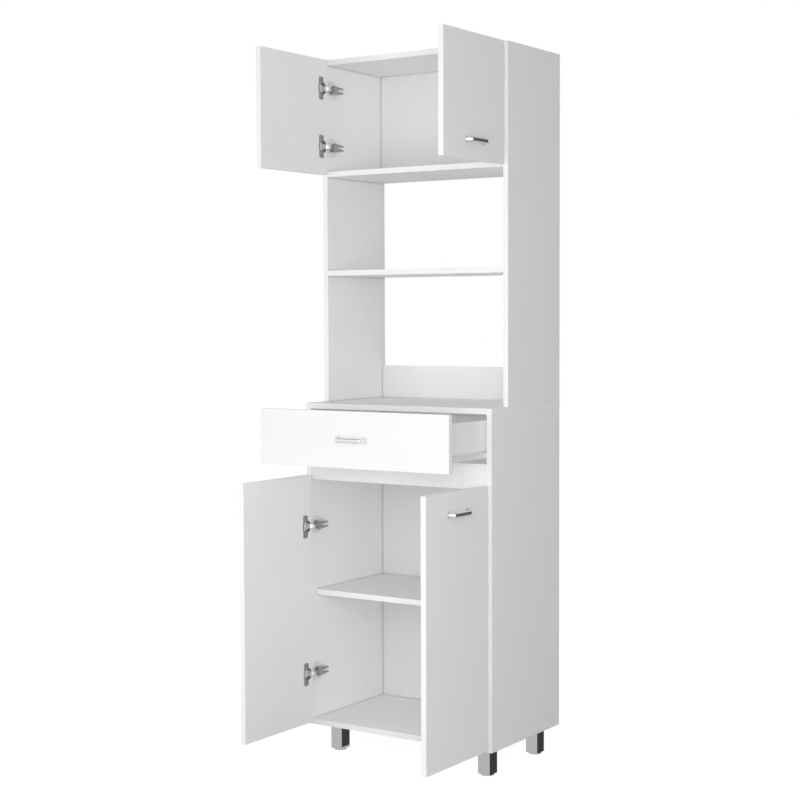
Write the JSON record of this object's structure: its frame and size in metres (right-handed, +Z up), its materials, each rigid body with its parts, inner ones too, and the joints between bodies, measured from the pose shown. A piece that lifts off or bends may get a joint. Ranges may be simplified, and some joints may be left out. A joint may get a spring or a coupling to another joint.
{
  "type": "microwave cabinet",
  "caption": "Tall white kitchen cabinet: doored cupboard over two open bays, then a worktop with a drawer and a doored base on short square legs.",
  "frame": {"origin": "on the floor, under the middle of the box round the cabinet with its doors open and its drawer pulled out", "axes": "+Z up, the front faces -Y, +X to the right seen from the front"},
  "size_m": [0.6266, 0.6762, 1.928],
  "materials": {
    "melamine": "white melamine-faced chipboard with white edge tape, satin",
    "hardboard": "white-faced hardboard, matt",
    "chrome": "polished chrome plate",
    "hinge_steel": "nickel-plated pressed steel",
    "runner_enamel": "white baked enamel on rolled steel"
  },
  "bodies": {
    "carcass": {"base_side_left": "melamine", "base_side_right": "melamine", "base_bottom": "melamine", "worktop": "melamine", "front_rail": "melamine", "base_shelf": "melamine", "upper_side_left": "melamine", "upper_side_right": "melamine", "upper_top": "melamine", "upper_floor": "melamine", "bay_shelf": "melamine", "backsplash": "melamine", "base_back": "hardboard", "upper_back": "hardboard", "leg_front_left": "chrome", "leg_front_right": "chrome", "leg_back_left": "chrome", "leg_back_right": "chrome", "cabinet_runner_left": "runner_enamel", "cabinet_runner_right": "runner_enamel", "hinge_arm_upper_left_top": "hinge_steel", "hinge_arm_upper_left_bottom": "hinge_steel", "hinge_arm_upper_right_top": "hinge_steel", "hinge_arm_upper_right_bottom": "hinge_steel", "hinge_arm_lower_left_top": "hinge_steel", "hinge_arm_lower_left_bottom": "hinge_steel", "hinge_arm_lower_right_top": "hinge_steel", "hinge_arm_lower_right_bottom": "hinge_steel"},
    "drawer": {"drawer_front": "melamine", "drawer_side_left": "melamine", "drawer_side_right": "melamine", "drawer_back": "melamine", "drawer_bottom": "hardboard", "drawer_handle": "chrome", "drawer_runner_left": "runner_enamel", "drawer_runner_right": "runner_enamel"},
    "upper_left_door": {"upper_door_left": "melamine", "upper_handle_left": "chrome", "hinge_cup_upper_left_top": "hinge_steel", "hinge_cup_upper_left_bottom": "hinge_steel"},
    "upper_left_top_hinge_link": {"hinge_link_upper_left_top": "hinge_steel"},
    "upper_left_bottom_hinge_link": {"hinge_link_upper_left_bottom": "hinge_steel"},
    "upper_right_door": {"upper_door_right": "melamine", "upper_handle_right": "chrome", "hinge_cup_upper_right_top": "hinge_steel", "hinge_cup_upper_right_bottom": "hinge_steel"},
    "upper_right_top_hinge_link": {"hinge_link_upper_right_top": "hinge_steel"},
    "upper_right_bottom_hinge_link": {"hinge_link_upper_right_bottom": "hinge_steel"},
    "lower_left_door": {"lower_door_left": "melamine", "lower_handle_left": "chrome", "hinge_cup_lower_left_top": "hinge_steel", "hinge_cup_lower_left_bottom": "hinge_steel"},
    "lower_left_top_hinge_link": {"hinge_link_lower_left_top": "hinge_steel"},
    "lower_left_bottom_hinge_link": {"hinge_link_lower_left_bottom": "hinge_steel"},
    "lower_right_door": {"lower_door_right": "melamine", "lower_handle_right": "chrome", "hinge_cup_lower_right_top": "hinge_steel", "hinge_cup_lower_right_bottom": "hinge_steel"},
    "lower_right_top_hinge_link": {"hinge_link_lower_right_top": "hinge_steel"},
    "lower_right_bottom_hinge_link": {"hinge_link_lower_right_bottom": "hinge_steel"}
  },
  "joints": [
    {"name": "drawer_slide", "type": "slide", "parent": "carcass", "child": "drawer", "axis": [0, -1, 0], "range_m": [-0.19, 0.07]},
    {"name": "upper_left_door_hinge", "type": "hinge", "parent": "carcass", "child": "upper_left_door", "pos_m": [-0.292, 0.0374, 1.7655], "axis": [0, 0, -1], "range_deg": [-90, 15]},
    {"name": "upper_left_top_hinge_link_pivot", "type": "hinge", "parent": "carcass", "child": "upper_left_top_hinge_link", "pos_m": [-0.2664, 0.0511, 1.846], "axis": [0, 0, -1], "range_deg": [-5.5, 32.5]},
    {"name": "upper_left_bottom_hinge_link_pivot", "type": "hinge", "parent": "carcass", "child": "upper_left_bottom_hinge_link", "pos_m": [-0.2664, 0.0511, 1.685], "axis": [0, 0, -1], "range_deg": [-5.5, 32.5]},
    {"name": "upper_right_door_hinge", "type": "hinge", "parent": "carcass", "child": "upper_right_door", "pos_m": [0.292, 0.0374, 1.7655], "axis": [0, 0, 1], "range_deg": [-90, 15]},
    {"name": "upper_right_top_hinge_link_pivot", "type": "hinge", "parent": "carcass", "child": "upper_right_top_hinge_link", "pos_m": [0.2664, 0.0511, 1.846], "axis": [0, 0, 1], "range_deg": [-5.5, 32.5]},
    {"name": "upper_right_bottom_hinge_link_pivot", "type": "hinge", "parent": "carcass", "child": "upper_right_bottom_hinge_link", "pos_m": [0.2664, 0.0511, 1.685], "axis": [0, 0, 1], "range_deg": [-5.5, 32.5]},
    {"name": "lower_left_door_hinge", "type": "hinge", "parent": "carcass", "child": "lower_left_door", "pos_m": [-0.292, -0.0476, 0.421], "axis": [0, 0, -1], "range_deg": [-90, 15]},
    {"name": "lower_left_top_hinge_link_pivot", "type": "hinge", "parent": "carcass", "child": "lower_left_top_hinge_link", "pos_m": [-0.2664, -0.0339, 0.628], "axis": [0, 0, -1], "range_deg": [-5.5, 32.5]},
    {"name": "lower_left_bottom_hinge_link_pivot", "type": "hinge", "parent": "carcass", "child": "lower_left_bottom_hinge_link", "pos_m": [-0.2664, -0.0339, 0.214], "axis": [0, 0, -1], "range_deg": [-5.5, 32.5]},
    {"name": "lower_right_door_hinge", "type": "hinge", "parent": "carcass", "child": "lower_right_door", "pos_m": [0.292, -0.0476, 0.421], "axis": [0, 0, 1], "range_deg": [-90, 15]},
    {"name": "lower_right_top_hinge_link_pivot", "type": "hinge", "parent": "carcass", "child": "lower_right_top_hinge_link", "pos_m": [0.2664, -0.0339, 0.628], "axis": [0, 0, 1], "range_deg": [-5.5, 32.5]},
    {"name": "lower_right_bottom_hinge_link_pivot", "type": "hinge", "parent": "carcass", "child": "lower_right_bottom_hinge_link", "pos_m": [0.2664, -0.0339, 0.214], "axis": [0, 0, 1], "range_deg": [-5.5, 32.5]}
  ],
  "couplings": [
    {"joint": "upper_left_top_hinge_link_pivot", "follows": "upper_left_door_hinge", "ratio": -0.358},
    {"joint": "upper_left_bottom_hinge_link_pivot", "follows": "upper_left_door_hinge", "ratio": -0.358},
    {"joint": "upper_right_top_hinge_link_pivot", "follows": "upper_right_door_hinge", "ratio": -0.358},
    {"joint": "upper_right_bottom_hinge_link_pivot", "follows": "upper_right_door_hinge", "ratio": -0.358},
    {"joint": "lower_left_top_hinge_link_pivot", "follows": "lower_left_door_hinge", "ratio": -0.358},
    {"joint": "lower_left_bottom_hinge_link_pivot", "follows": "lower_left_door_hinge", "ratio": -0.358},
    {"joint": "lower_right_top_hinge_link_pivot", "follows": "lower_right_door_hinge", "ratio": -0.358},
    {"joint": "lower_right_bottom_hinge_link_pivot", "follows": "lower_right_door_hinge", "ratio": -0.358}
  ]
}
